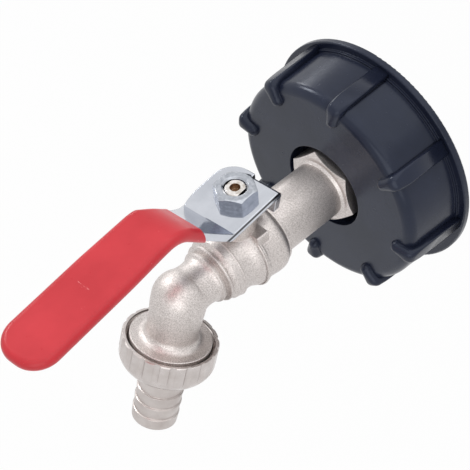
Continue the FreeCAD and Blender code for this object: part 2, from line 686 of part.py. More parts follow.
def lever_outline(grow):
    """The lever seen from above as a tall block, grown by an amount all round; along is the distance to the tip."""
    length = LEVER_LENGTH + grow
    straight = LEVER_LENGTH - TIP_ROUND
    grip = GRIP_HALF + grow
    tip = TIP_ROUND + grow
    inset = GRIP_HALF - TIP_ROUND
    near = [(FOLD_AT, HEAD_NEAR_HALF), (NECK_AT, NECK_NEAR_HALF), (WAIST_AT, WAIST_NEAR_HALF),
            (GRIP_FULL_AT, GRIP_HALF)]
    far = [
        (HEAD_STRAIGHT, HEAD_FAR_HALF),
        (FOLD_AT * 0.8, share(HEAD_FAR_HALF, FOLD_FAR_HALF, 0.45)),
        (FOLD_AT, FOLD_FAR_HALF),
        (share(FOLD_AT, NECK_AT, 0.22), share(FOLD_FAR_HALF, NECK_FAR_HALF, 0.42)),
        (share(FOLD_AT, NECK_AT, 0.5), share(FOLD_FAR_HALF, NECK_FAR_HALF, 0.78)),
        (NECK_AT, NECK_FAR_HALF),
        (share(NECK_AT, CREST_AT, 0.5), share(NECK_FAR_HALF, CREST_FAR_HALF, 0.2)),
        (CREST_AT, CREST_FAR_HALF),
        (CREST_END, CREST_END_HALF),
    ]
    edges = [side_curve(near, grow, 1), side_curve(far, grow, -1)]

    def line(a, b):
        edges.append(Part.LineSegment(V(*a, 0), V(*b, 0)).toShape())

    def arc(a, b, c):
        edges.append(Part.Arc(V(*a, 0), V(*b, 0), V(*c, 0)).toShape())

    turn = tip * math.sqrt(0.5)
    line((grip, -GRIP_FULL_AT), (grip, -straight))
    arc((grip, -straight), (inset + turn, -straight - turn), (inset, -length))
    line((inset, -length), (-inset, -length))
    arc((-inset, -length), (-inset - turn, -straight - turn), (-grip, -straight))
    line((-grip, -straight), (-grip, -GRIP_FULL_AT))
    line((-grip, -GRIP_FULL_AT), (-CREST_END_HALF - grow, -CREST_END))

    near_half = HEAD_NEAR_HALF + grow
    far_half = HEAD_FAR_HALF + grow
    back = HEAD_BACK + grow
    edge = HEAD_EDGE + grow
    corner = HEAD_CORNER_R + grow
    diagonal = corner * math.sqrt(0.5)
    corner_x = HEAD_CORNER_R - HEAD_FAR_HALF
    corner_y = HEAD_EDGE - HEAD_CORNER_R
    line((near_half, -FOLD_AT), (near_half, back))
    line((near_half, back), (TAB_FROM, back))
    line((TAB_FROM, back), (TAB_FROM, edge))
    line((TAB_FROM, edge), (corner_x, edge))
    arc((corner_x, edge), (corner_x - diagonal, corner_y + diagonal), (-far_half, corner_y))
    line((-far_half, corner_y), (-far_half, -HEAD_STRAIGHT))
    wire = Part.Wire(Part.__sortEdges__(edges))
    tall = 2 * (CREST_AT + PLATE_TOP)
    return Part.Face(wire).extrude(V(0, 0, tall))


def stop_tab():
    """The head's back edge bent down to meet the stops on the valve body, narrower at its foot."""
    inner = HEAD_BACK - SHEET_T
    outline = [(TAB_FROM, TAB_BOTTOM), (HEAD_NEAR_HALF - TAB_TAPER, TAB_BOTTOM),
               (HEAD_NEAR_HALF, PLATE_BOTTOM), (HEAD_NEAR_HALF, PLATE_TOP), (TAB_FROM, PLATE_TOP), (TAB_FROM, TAB_BOTTOM)]
    wire = Part.makePolygon([V(across, inner, height) for across, height in outline])
    return Part.Face(wire).extrude(V(0, SHEET_T, 0))


def lever_plate():
    sheet = bent_sheet(SHEET_T / 2, -SHEET_T / 2, SHEET_BLANK)
    plate = sheet.common(lever_outline(0)).fuse(stop_tab()).removeSplitter()
    bend = edges_where(plate, lambda e: len(e.Vertexes) == 2 and all(
        abs(v.Y - HEAD_BACK) < 1e-4 and abs(v.Z - PLATE_TOP) < 1e-4 for v in e.Vertexes))
    plate = plate.makeFillet(TAB_BEND_R, bend)
    hole = Part.makeCylinder(STEM_END_R + PLATE_HOLE_CLEARANCE, 2 * SHEET_T, V(0, 0, PLATE_BOTTOM - SHEET_T / 2))
    flats = STEM_FLATS + 2 * PLATE_HOLE_CLEARANCE
    hole = hole.common(Part.makeBox(flats, 4 * STEM_R, 2 * SHEET_T, V(-flats / 2, -2 * STEM_R, PLATE_BOTTOM - SHEET_T / 2)))
    return at_stem(plate.cut(hole))


def lever_sleeve():
    """The dipped plastic grip: the same bent form one skin thicker, hollowed for the sheet."""
    outer = bent_sheet(SHEET_T / 2 + SLEEVE_T, -SHEET_T / 2 - SLEEVE_T, SHEET_BLANK)
    outer = outer.common(lever_outline(SLEEVE_T))
    head = Part.makeBox(SHEET_BLANK, SLEEVE_START + 2 * HEAD_BACK, 2 * PLATE_TOP, V(-SHEET_BLANK / 2, -SLEEVE_START, 0))
    outer = outer.cut(head)
    long_edges = edges_where(outer, lambda e: e.BoundBox.YMax - e.BoundBox.YMin > 1e-3
                             and e.BoundBox.YMin < -SLEEVE_START - 1)
    half_wall = SHEET_T / 2 + SLEEVE_T
    outer = outer.makeFillet(min(SLEEVE_ROUND, half_wall * SLEEVE_ROUND_SHARE), long_edges)
    inner = bent_sheet(SHEET_T / 2 + SLEEVE_FIT, -SHEET_T / 2 - SLEEVE_FIT, SHEET_BLANK)
    inner = inner.common(lever_outline(SLEEVE_FIT))
    return at_stem(outer.cut(inner))


def lever_nut():
    top = PLATE_TOP + LEVER_NUT_T
    nut = hexagon(LEVER_NUT_AF, LEVER_NUT_PHASE - LEVER_REST_TURN, PLATE_TOP, LEVER_NUT_T)
    nut = nut.common(crown(LEVER_NUT_AF, PLATE_TOP, top, LEVER_NUT_T / 4))
    hole_r = STEM_END_R + PLATE_HOLE_CLEARANCE
    countersink = Part.makeCone(hole_r, hole_r + 0.5, 0.5, V(0, 0, top - 0.5))
    return at_stem(nut.cut(Part.makeCylinder(hole_r, LEVER_NUT_T, V(0, 0, PLATE_TOP))).cut(countersink))


def union_nut():
    """Fluted nut with a mouth, a plain stand-in for its thread, and the lip that pulls the hose tail up."""
    mouth_r = UNION_BORE_R + UNION_MOUTH_STEP
    end_r = UNION_R - UNION_BOW
    lip_top = UNION_END - UNION_LIP_T
    hole_r = TAIL_NECK_R + TURNING_GAP
    shoulder_top = UNION_END - UNION_SHOULDER
    mouth_end = UNION_TOP + UNION_MOUTH_DEPTH
    bow = smooth_curve([
        (UNION_R, shoulder_top), (UNION_R - UNION_BOW * 0.19, shoulder_top + UNION_SHOULDER * 0.38),
        (end_r + UNION_BOW * 0.5, UNION_END - UNION_SHOULDER * 0.32), (end_r, UNION_END),
    ])
    blank = revolved_edges([
        segment((hole_r, UNION_END), (hole_r, lip_top)),
        segment((hole_r, lip_top), (UNION_BORE_R, lip_top)),
        segment((UNION_BORE_R, lip_top), (UNION_BORE_R, mouth_end)),
        segment((UNION_BORE_R, mouth_end), (mouth_r, mouth_end - UNION_MOUTH_STEP)),
        segment((mouth_r, mouth_end - UNION_MOUTH_STEP), (mouth_r, UNION_TOP)),
        segment((mouth_r, UNION_TOP), (UNION_R - CAST_EDGE, UNION_TOP)),
        segment((UNION_R - CAST_EDGE, UNION_TOP), (UNION_R, UNION_TOP + CAST_EDGE)),
        segment((UNION_R, UNION_TOP + CAST_EDGE), (UNION_R, shoulder_top)),
        bow,
        segment((end_r, UNION_END), (hole_r, UNION_END)),
    ])
    cutters = []
    for k in range(UNION_FLUTES):
        angle = math.radians(FLUTE_PHASE + 360 * k / UNION_FLUTES)
        reach = UNION_R + FLUTE_R - FLUTE_DEPTH
        centre = V(reach * math.cos(angle), reach * math.sin(angle), UNION_TOP - FLUTE_R)
        cutters.append(Part.makeCylinder(FLUTE_R, UNION_END - UNION_TOP + 2 * FLUTE_R, centre))
    return on_leg(blank.cut(cutters))


def tail_washer():
    return on_leg(ring(PASSAGE_R + 1, SPIGOT_R - TAIL_WASHER_INSET, SPIGOT_END, SPIGOT_END + TAIL_WASHER_T))


def hose_tail():
    """Flange held by the union nut, plain neck and saw-toothed barbs for the hose."""
    flange_r = SPIGOT_R - TAIL_FLANGE_INSET
    outline = [(TAIL_BORE_R, TAIL_FLANGE_TOP), (flange_r, TAIL_FLANGE_TOP), (flange_r, TAIL_FLANGE_END),
               (TAIL_NECK_R, TAIL_FLANGE_END), (BARB_ROOT_R, BARB_FIRST)]
    for k in range(BARB_COUNT - 1):
        start = BARB_FIRST + k * BARB_PITCH
        outline += [(BARB_R, start + BARB_STEP), (BARB_ROOT_R, start + BARB_PITCH)]
    last = BARB_FIRST + (BARB_COUNT - 1) * BARB_PITCH
    last_r = (BARB_R + BARB_ROOT_R) / 2
    outline += [(BARB_R, last + BARB_STEP), (last_r, TAIL_END - TAIL_END_ROUND),
                (last_r - TAIL_END_ROUND, TAIL_END), (TAIL_BORE_R, TAIL_END)]
    return on_leg(revolved(outline))


PARTS = {
    "cap_shell": cap_shell,
    "tank_gasket": tank_gasket,
    "hex_washer": hex_washer,
    "inlet_connector": inlet_connector,
    "body_ring": body_ring,
    "valve_body": valve_body,
    "inlet_seat": lambda: seat_ring(-1),
    "outlet_seat": lambda: seat_ring(1),
    "ball": ball,
    "stem": stem,
    "thrust_washer": thrust_washer,
    "stem_rings": stem_rings,
    "lever_plate": lever_plate,
    "lever_sleeve": lever_sleeve,
    "lever_nut": lever_nut,
    "union_nut": union_nut,
    "tail_washer": tail_washer,
    "hose_tail": hose_tail,
}

os.makedirs("parts", exist_ok=True)
for name, build in PARTS.items():
    shape = build()
    shape.exportStep("parts/" + name + ".step")
    print(name, "solids", len(shape.Solids), "valid", shape.isValid(), "volume", round(shape.Volume, 1))
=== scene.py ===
import math

import bmesh
import bpy
from mathutils import Matrix, Vector

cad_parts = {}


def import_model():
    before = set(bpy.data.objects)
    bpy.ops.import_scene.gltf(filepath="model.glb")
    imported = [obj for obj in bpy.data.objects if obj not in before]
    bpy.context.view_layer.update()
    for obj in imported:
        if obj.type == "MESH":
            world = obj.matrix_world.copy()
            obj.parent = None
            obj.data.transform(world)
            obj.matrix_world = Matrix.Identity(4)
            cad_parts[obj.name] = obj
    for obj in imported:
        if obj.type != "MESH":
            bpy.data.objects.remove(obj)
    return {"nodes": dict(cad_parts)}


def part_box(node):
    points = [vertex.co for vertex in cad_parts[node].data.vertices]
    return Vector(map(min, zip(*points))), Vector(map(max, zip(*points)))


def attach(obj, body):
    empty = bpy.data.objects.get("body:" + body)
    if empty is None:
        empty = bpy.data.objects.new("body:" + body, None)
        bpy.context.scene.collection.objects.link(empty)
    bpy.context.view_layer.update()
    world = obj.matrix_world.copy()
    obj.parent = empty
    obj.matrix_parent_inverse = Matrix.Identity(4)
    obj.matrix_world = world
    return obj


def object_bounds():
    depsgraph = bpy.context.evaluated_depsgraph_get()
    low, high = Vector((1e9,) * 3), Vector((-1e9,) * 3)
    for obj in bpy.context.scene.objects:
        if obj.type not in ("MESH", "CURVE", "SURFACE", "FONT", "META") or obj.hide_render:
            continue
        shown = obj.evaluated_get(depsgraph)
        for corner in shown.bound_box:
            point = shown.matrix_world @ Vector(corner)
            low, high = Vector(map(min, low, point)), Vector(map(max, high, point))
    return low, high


# The looks of a container tap: screw cap, plated valve with a sleeved lever, union nut and hose tail
# Metres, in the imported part's frame: the pipe runs along -Y from the cap's mouth, +Z is up the stem

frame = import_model()
cad_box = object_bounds()
MM = 0.001

# The camera, fitted to the photograph's circles
CAMERA_AT = Vector((0.202525, -0.230059, 0.306179))
CAMERA_RIGHT = Vector((0.69003, 0.72104, -0.06293))
CAMERA_UP = Vector((-0.51381, 0.54924, 0.65904))
CAMERA_BACK = Vector((0.50975, -0.42242, 0.74947))
CAMERA_LENS = 99.69
CAMERA_SENSOR = 36.0
CAMERA_NEAR = 0.01

# The studio; the wall's end and the ceiling's start are shares of the height from straight down to up
WHITE = (1.0, 1.0, 1.0)
BLACK = (0.0, 0.0, 0.0)
GREY_WALL = (0.38, 0.38, 0.40)
WALL_END = 0.60
CEILING_START = 0.78
WORLD_FILL = 0.62
FLOOR_DROP = 0.22
FLOOR_SIZE = 1.8
FLOOR_PALE = 0.9
FLOOR_ROUGHNESS = 0.9
FLOOR_GLOW = 0.92
LAMP_TARGET = Vector((0.0, -0.06, 0.0))
LAMP_DISTANCE = 0.9

# The range that a noise pattern mostly keeps to, and the samples that round off an edge's shading
NOISE_LOW = 0.3
NOISE_HIGH = 0.7
BEVEL_SAMPLES = 6

# The blind hole in the end of the stem, and where its dark brown, a bare brass hue with painted shade, gives
# way to the plating
CENTRE_HOLE_R = 1.6 * MM
BRASS_SHADE_END = CENTRE_HOLE_R * 1.01
PLATING_START = CENTRE_HOLE_R * 1.06

# Painted shade on the lever head's straight side: a dark band below the top of the plate, and how squarely
# that side faces +X
SIDE_SHADE_START = 0.2 * MM
SIDE_SHADE_END = 1.35 * MM
SIDE_SHADE_FADE = 0.15 * MM
SIDE_SHADE_FACING_LOW = 0.90
SIDE_SHADE_FACING_HIGH = 0.97

# How far up a surface of the lever's nut faces, from its flats, which get painted shade, to its end, which
# gets painted light
NUT_SHADE_FACING = 0.05
NUT_LIT_FACING = 0.35

# The coarse thread inside the cap
TANK_THREAD_R = 30.0 * MM
THREAD_PITCH = 6.0 * MM
THREAD_DEPTH = 2.3 * MM
THREAD_SINK = 0.15 * MM
THREAD_FOOT_HALF = 1.7 * MM
THREAD_CREST_HALF = 0.7 * MM
THREAD_START = 3.1 * MM
THREAD_END = 15.2 * MM
THREAD_STEPS = 96
THREAD_FADE_STEPS = 12

# The grip bars: points on a bar's core as radius and height from the cap's mouth
GRIP_BARS = 8
GRIP_BAR_PHASE = -8.0
BAR_FOOT = Vector((37.0, 2.0)) * MM
BAR_CREST = Vector((36.45, 18.0)) * MM
BAR_KNUCKLE = Vector((36.3, 22.5)) * MM
BAR_TIP = Vector((32.2, 22.9)) * MM

# A bar's section on the cap's wall and at its tip, the most that its draft and edges may take, and its steps
BAR_HALF = 2.9 * MM
BAR_RISE = 2.8 * MM
BAR_EDGE = 0.55 * MM
BAR_DRAFT = 0.25 * MM
TIP_HALF = 2.25 * MM
TIP_RISE = 2.65 * MM
TIP_EDGE = 2.1 * MM
TIP_LENGTH = 2.35 * MM
TIP_TURN = math.radians(84)
KNUCKLE_EDGE_SHARE = 0.6
DRAFT_OF_HALF = 0.1
EDGE_OF_RISE = 0.8
TIP_EDGE_OF_HALF = 0.85
WALL_STEPS = 5
KNUCKLE_STEPS = 10
FACE_STEPS = 4
TIP_STEPS = 9
EDGE_STEPS = 6
WELD_DISTANCE = 0.001 * MM

# The casting's crisp ridges: distance from the cap's mouth, radius, degrees kept free each side of the top
RIDGES = {
    "band": (60.7 * MM, 12.85 * MM, 32.0),
    "step": (68.8 * MM, 11.1 * MM, 0.0),
    "collar": (73.35 * MM, 9.85 * MM, 0.0),
    "bead": (75.7 * MM, 8.75 * MM, 0.0),
}
RIDGE_HALF = 0.38 * MM
RIDGE_RISE = 0.2 * MM
RIDGE_SINK = 0.2 * MM
RIDGE_FADE = 8.0
RIDGE_END_SHARE = 0.05
RIDGE_STEPS = 144
RIDGE_ARC_STEPS = 8

# Turns +Z to the pipe's direction, -Y
ALONG_PIPE = Matrix.Rotation(math.radians(90), 4, "X")


def new_material(name):
    """A new material, its node tree and its shader."""
    made = bpy.data.materials.new(name)
    made.use_nodes = True
    return made, made.node_tree, made.node_tree.nodes["Principled BSDF"]


def fill(tree, node, sockets):
    """Fills a node's sockets: another node's output is linked, anything else is set on the socket itself."""
    for name, value in sockets.items():
        if isinstance(value, bpy.types.NodeSocket):
            tree.links.new(value, node.inputs[name])
        else:
            node.inputs[name].default_value = value


def new_node(tree, kind, sockets=None, **settings):
    node = tree.nodes.new("ShaderNode" + kind)
    for name, value in settings.items():
        setattr(node, name, value)
    fill(tree, node, sockets or {})
    return node


def coordinates(tree, kind="Object"):
    return new_node(tree, "TexCoord").outputs[kind]


def axis(tree, kind, name):
    """One axis of the surface's coordinates or direction."""
    return new_node(tree, "SeparateXYZ", {"Vector": coordinates(tree, kind)}).outputs[name]


def noise(tree, scale, detail, roughness=0.55, stretch=None):
    """A noise pattern laid on the object in metres, stretched along its axes if asked."""
    place = coordinates(tree)
    if stretch:
        place = new_node(tree, "Mapping", {"Vector": place, "Scale": stretch}).outputs["Vector"]
    sockets = {"Vector": place, "Scale": scale, "Detail": detail, "Roughness": roughness}
    return new_node(tree, "TexNoise", sockets).outputs["Fac"]


def ramp(tree, source, stops):
    """A colour ramp over a pattern; stops are (position, colour)."""
    node = new_node(tree, "ValToRGB", {"Fac": source})
    elements = node.color_ramp.elements
    while len(elements) < len(stops):
        elements.new(0.5)
    for element, (position, colour) in zip(elements, stops):
        element.position = position
        element.color = (*colour, 1.0)
    return node.outputs["Color"]


def tones(tree, pattern, low, high):
    """Two colours spread over a noise pattern."""
    return ramp(tree, pattern, [(NOISE_LOW, low), (NOISE_HIGH, high)])


def remap(tree, source, start, end, low=0.0, high=1.0):
    """A value taken from the range start to end to the range low to high."""
    sockets = {"Value": source, "From Min": start, "From Max": end, "To Min": low, "To Max": high}
    return new_node(tree, "MapRange", sockets).outputs["Result"]


def spread(tree, pattern, low, high):
    """A noise pattern taken to the range from low to high."""
    return remap(tree, pattern, NOISE_LOW, NOISE_HIGH, low, high)


def mix(tree, share, first, second):
    """The first colour where the share is 0, the second where it is 1."""
    sockets = {"Factor": share, "A": first, "B": second}
    return new_node(tree, "Mix", sockets, data_type="RGBA").outputs["Result"]


def calculate(tree, operation, first, second):
    return new_node(tree, "Math", {0: first, 1: second}, operation=operation).outputs[0]


def distance_from_axis(tree, centre):
    """How far the surface lies from the upright line through a point."""
    offset = new_node(tree, "VectorMath", {0: coordinates(tree), 1: centre}, operation="SUBTRACT")
    flat = new_node(tree, "VectorMath", {0: offset.outputs["Vector"], 1: (1, 1, 0)}, operation="MULTIPLY")
    return new_node(tree, "VectorMath", {0: flat.outputs["Vector"]}, operation="LENGTH").outputs["Value"]


def bump(tree, layers, edge_radius=0.0):
    """Bumps stacked on one another over softened edges; layers are (pattern, depth in metres, strength)."""
    normal = None
    if edge_radius:
        normal = new_node(tree, "Bevel", {"Radius": edge_radius}, samples=BEVEL_SAMPLES).outputs["Normal"]
    for pattern, depth, strength in layers:
        sockets = {"Height": pattern, "Distance": depth, "Strength": strength}
        if normal:
            sockets["Normal"] = normal
        normal = new_node(tree, "Bump", sockets).outputs["Normal"]
    return normal


def black_plastic():
    made, tree, shader = new_material("cap_black_plastic")
    flow = noise(tree, scale=55, detail=3)
    dull = noise(tree, scale=300, detail=4)
    grain = noise(tree, scale=2600, detail=3)
    fill(tree, shader, {
        "Base Color": ramp(tree, flow, [(0.35, (0.010, 0.013, 0.027)), (0.65, (0.016, 0.020, 0.039))]),
        "Roughness": spread(tree, dull, 0.19, 0.28),
        "Normal": bump(tree, [(flow, 0.3 * MM, 0.16), (grain, 0.04 * MM, 0.28)], edge_radius=0.4 * MM),
        "Specular IOR Level": 0.33,
        "Specular Tint": (0.80, 0.87, 1.0, 1),
    })
    return made


def satin_nickel():
    """Blasted castings, with a fine grain of dark pits and bright grains."""
    made, tree, shader = new_material("blasted_nickel")
    grain = noise(tree, scale=3200, detail=2, roughness=0.8)
    cast = noise(tree, scale=420, detail=4)
    stops = [(0.38, (0.44, 0.405, 0.385)), (0.5, (0.63, 0.58, 0.56)), (0.62, (0.765, 0.72, 0.70))]
    fill(tree, shader, {
        "Base Color": ramp(tree, grain, stops),
        "Metallic": 1.0,
        "Roughness": spread(tree, grain, 0.52, 0.34),
        "Normal": bump(tree, [(cast, 0.1 * MM, 0.2), (grain, 0.1 * MM, 0.6)], edge_radius=0.15 * MM),
    })
    return made


def pressed_nickel():
    made, tree, shader = new_material("pressed_nickel")
    cloud = noise(tree, scale=260, detail=4)
    grain = noise(tree, scale=2400, detail=2, roughness=0.7)
    fill(tree, shader, {
        "Base Color": tones(tree, cloud, (0.53, 0.485, 0.465), (0.63, 0.585, 0.57)),
        "Metallic": 1.0,
        "Roughness": spread(tree, cloud, 0.36, 0.24),
        "Normal": bump(tree, [(cloud, 0.2 * MM, 0.15), (grain, 0.05 * MM, 0.35)], edge_radius=0.15 * MM),
    })
    return made


def turned_nickel():
    made, tree, shader = new_material("turned_nickel")
    cloud = noise(tree, scale=160, detail=4)
    grain = noise(tree, scale=1900, detail=3, roughness=0.7)
    fill(tree, shader, {
        "Base Color": tones(tree, cloud, (0.50, 0.45, 0.43), (0.61, 0.565, 0.545)),
        "Metallic": 1.0,
        "Roughness": spread(tree, grain, 0.32, 0.44),
        "Normal": bump(tree, [(grain, 0.05 * MM, 0.4)], edge_radius=0.3 * MM),
    })
    return made


def painted_side_shade(tree):
    """One on the lever head's straight side, in the band of painted shade just under the plate's top edge."""
    plate_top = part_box("lever_nut")[0][2]
    band_top = plate_top - SIDE_SHADE_START
    band_foot = plate_top - SIDE_SHADE_END
    height = axis(tree, "Object", "Z")
    shares = [
        remap(tree, axis(tree, "Normal", "X"), SIDE_SHADE_FACING_LOW, SIDE_SHADE_FACING_HIGH),
        remap(tree, height, band_top, band_top - SIDE_SHADE_FADE),
        remap(tree, height, band_foot, band_foot + SIDE_SHADE_FADE),
    ]
    total = shares[0]
    for share in shares[1:]:
        total = calculate(tree, "MULTIPLY", total, share)
    return total


def chrome_plate(name, side_shade):
    """Bright plating; the lever, cut from sheet, gets a dark band of painted shade on its straight side."""
    made, tree, shader = new_material(name)
    plated = tones(tree, noise(tree, scale=90, detail=3), (0.53, 0.55, 0.60), (0.65, 0.67, 0.72))
    if side_shade:
        # painted shade: a near-black band on the +X side of the lever head, under the plate's top edge
        plated = mix(tree, painted_side_shade(tree), plated, (0.05, 0.052, 0.06, 1))
    peel = noise(tree, scale=260, detail=2)
    fill(tree, shader, {
        "Base Color": plated,
        "Metallic": 1.0,
        "Roughness": spread(tree, noise(tree, scale=350, detail=4), 0.07, 0.14),
        "Normal": bump(tree, [(peel, 0.2 * MM, 0.05)], edge_radius=0.5 * MM),
    })
    return made


def zinc_nut():
    """Zinc plating, painted darker on the flats as shade and lighter on the upward end as lit."""
    made, tree, shader = new_material("zinc_plated_nut")
    cloud = noise(tree, scale=900, detail=4)
    grain = noise(tree, scale=1500, detail=3)
    # painted shade on the flats and painted light on the upward end: the darker tones go to side faces, the
    # lighter 'turned' tones to faces that point up
    shaded_flats = tones(tree, cloud, (0.24, 0.26, 0.30), (0.34, 0.36, 0.41))
    turned = tones(tree, cloud, (0.36, 0.38, 0.42), (0.48, 0.50, 0.54))
    lit_end_share = remap(tree, axis(tree, "Normal", "Z"), NUT_SHADE_FACING, NUT_LIT_FACING)
    fill(tree, shader, {
        "Base Color": mix(tree, lit_end_share, shaded_flats, turned),
        "Metallic": 1.0,
        "Roughness": spread(tree, cloud, 0.15, 0.26),
        "Normal": bump(tree, [(grain, 0.04 * MM, 0.15)], edge_radius=0.2 * MM),
    })
    return made


def red_sleeve():
    """Dipped vinyl with a soft skin and a few pale scratches across it."""
    made, tree, shader = new_material("red_dipped_vinyl")
    red = tones(tree, noise(tree, scale=70, detail=3), (0.58, 0.029, 0.040), (0.67, 0.040, 0.053))
    scratches = noise(tree, scale=420, detail=6, roughness=0.75, stretch=(0.25, 1.0, 1.0))
    marks = ramp(tree, scratches, [(0.665, BLACK), (0.72, WHITE)])
    waves = noise(tree, scale=130, detail=2)
    grain = noise(tree, scale=2200, detail=2)
    fill(tree, shader, {
        "Base Color": mix(tree, marks, red, (0.84, 0.27, 0.28, 1)),
        "Roughness": spread(tree, noise(tree, scale=500, detail=4), 0.27, 0.38),
        "Normal": bump(tree, [(waves, 0.4 * MM, 0.08), (grain, 0.03 * MM, 0.2)]),
        "Specular IOR Level": 0.14,
        "Coat Weight": 0.35,
        "Coat Roughness": 0.28,
    })
    return made


def black_rubber():
    made, tree, shader = new_material("black_rubber")
    cloud = noise(tree, scale=200, detail=4)
    grain = noise(tree, scale=1800, detail=3)
    fill(tree, shader, {
        "Base Color": tones(tree, cloud, (0.016, 0.016, 0.017), (0.028, 0.028, 0.030)),
        "Roughness": spread(tree, cloud, 0.6, 0.75),
        "Normal": bump(tree, [(grain, 0.06 * MM, 0.4)]),
    })
    return made


def seat_plastic():
    made, tree, shader = new_material("white_seat_plastic")
    cloud = noise(tree, scale=180, detail=3)
    fill(tree, shader, {
        "Base Color": tones(tree, cloud, (0.78, 0.78, 0.75), (0.86, 0.86, 0.84)),
        "Roughness": spread(tree, cloud, 0.35, 0.5),
        "Subsurface Weight": 0.15,
        "Subsurface Scale": 2 * MM,
    })
    return made


def plated_brass(centre):
    """Bright plating outside; the blind hole about the piece's own centre line is painted dark brown, a bare
    brass hue darkened with painted shade.
    """
    made, tree, shader = new_material("plated_brass")
    cloud = noise(tree, scale=700, detail=4)
    grain = noise(tree, scale=1600, detail=3)
    stops = [(0.3, (0.46, 0.40, 0.34)), (0.5, (0.68, 0.65, 0.62)), (0.7, (0.76, 0.74, 0.73))]
    # painted shade: the hole's dark brown is partly brass hue and partly shade painted into the recess
    in_hole = remap(tree, distance_from_axis(tree, centre), PLATING_START, BRASS_SHADE_END)
    fill(tree, shader, {
        "Base Color": mix(tree, in_hole, ramp(tree, cloud, stops), (0.34, 0.25, 0.18, 1)),
        "Metallic": 1.0,
        "Roughness": spread(tree, cloud, 0.16, 0.34),
        "Normal": bump(tree, [(grain, 0.08 * MM, 0.3)], edge_radius=0.2 * MM),
    })
    return made


def add_object(name, data):
    placed = bpy.data.objects.new(name, data)
    bpy.context.collection.objects.link(placed)
    return placed


def add_mesh(name, mesh, material):
    """The built mesh as an object."""
    data = bpy.data.meshes.new(name)
    mesh.to_mesh(data)
    mesh.free()
    data.materials.append(material)
    return add_object(name, data)


def skin(mesh, rows, joined=False, smooth=0):
    """Faces from each row to the next, the first few round a row smooth, and ends unless they are joined."""
    count = len(rows[0])
    for before, after in zip(rows, rows[1:] + rows[:1] if joined else rows[1:]):
        for k in range(count):
            face = mesh.faces.new((before[k], before[(k + 1) % count], after[(k + 1) % count], after[k]))
            face.smooth = k < smooth
    if not joined:
        mesh.faces.new(rows[0])
        mesh.faces.new(list(reversed(rows[-1])))


def thread_section(rise):
    """Points across the cap's thread as (radius, height), at a share of its full depth."""
    buried = TANK_THREAD_R + THREAD_SINK
    crest = TANK_THREAD_R - THREAD_DEPTH * rise if rise else buried
    lower = [(buried, -THREAD_FOOT_HALF), (TANK_THREAD_R, -THREAD_FOOT_HALF), (crest, -THREAD_CREST_HALF)]
    return lower + [(radius, -height) for radius, height in reversed(lower)]


def cap_thread(material):
    """The ridge of the cap's inner thread, which fades away at both ends."""
    steps = int((THREAD_END - THREAD_START) / THREAD_PITCH * THREAD_STEPS)
    mesh = bmesh.new()
    rows = []
    for step in range(steps + 1):
        angle = 2 * math.pi * step / THREAD_STEPS
        middle = THREAD_START + THREAD_PITCH * step / THREAD_STEPS
        rise = min(1.0, step / THREAD_FADE_STEPS, (steps - step) / THREAD_FADE_STEPS)
        rows.append([mesh.verts.new((radius * math.cos(angle), radius * math.sin(angle), middle + height))
                     for radius, height in thread_section(rise)])
    skin(mesh, rows)
    bmesh.ops.recalc_face_normals(mesh, faces=mesh.faces)
    piece = add_mesh("cap_thread", mesh, material)
    piece.data.transform(ALONG_PIPE)
    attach(piece, "valve")


def between(low, high, share):
    return low + (high - low) * share


def wall_stations(turn):
    """Up the cap's wall and round its edge: core point, outward angle, half width, rise and edge radius."""
    stations = [(BAR_FOOT, 0.0, BAR_HALF, BAR_RISE, BAR_EDGE)]
    for step in range(WALL_STEPS):
        share = step / WALL_STEPS
        edge = between(BAR_EDGE, TIP_EDGE, share ** 2 * KNUCKLE_EDGE_SHARE)
        stations.append((BAR_CREST.lerp(BAR_KNUCKLE, share), 0.0, BAR_HALF, BAR_RISE, edge))
    for step in range(KNUCKLE_STEPS + 1):
        share = step / KNUCKLE_STEPS
        edge = between(BAR_EDGE, TIP_EDGE, between(KNUCKLE_EDGE_SHARE, 1.0, share))
        stations.append((BAR_KNUCKLE, turn * share, BAR_HALF, BAR_RISE, edge))
    return stations


def face_stations(over_face, turn):
    """Over the cap's face and round the bar's tip, with the same values."""
    stations = []
    for step in range(1, FACE_STEPS + 1):
        share = step / FACE_STEPS
        half = between(BAR_HALF, TIP_HALF, share)
        rise = between(BAR_RISE, TIP_RISE, share)
        stations.append((BAR_KNUCKLE + over_face * share, turn, half, rise, TIP_EDGE))
    for step in range(1, TIP_STEPS + 1):
        along = math.sin(TIP_TURN * step / TIP_STEPS)
        half = TIP_HALF * math.sqrt(1 - along ** 2)
        rise = TIP_RISE * math.sqrt(1 - along ** 3)
        core = BAR_TIP + Vector((-TIP_LENGTH * along, 0))
        stations.append((core, turn, half, rise, min(TIP_EDGE, half * TIP_EDGE_OF_HALF)))
    return stations


def bar_section(half, rise, edge):
    """Points across one bar as (width, height), from one buried foot over both rounded edges to the other."""
    side = half - min(BAR_DRAFT, half * DRAFT_OF_HALF)
    edge = min(edge, rise * EDGE_OF_RISE)
    right = [(half, 0.0)]
    for step in range(EDGE_STEPS + 1):
        angle = math.radians(90) * step / EDGE_STEPS
        right.append((side - edge + edge * math.cos(angle), rise - edge + edge * math.sin(angle)))
    return right + [(-width, height) for width, height in reversed(right)]


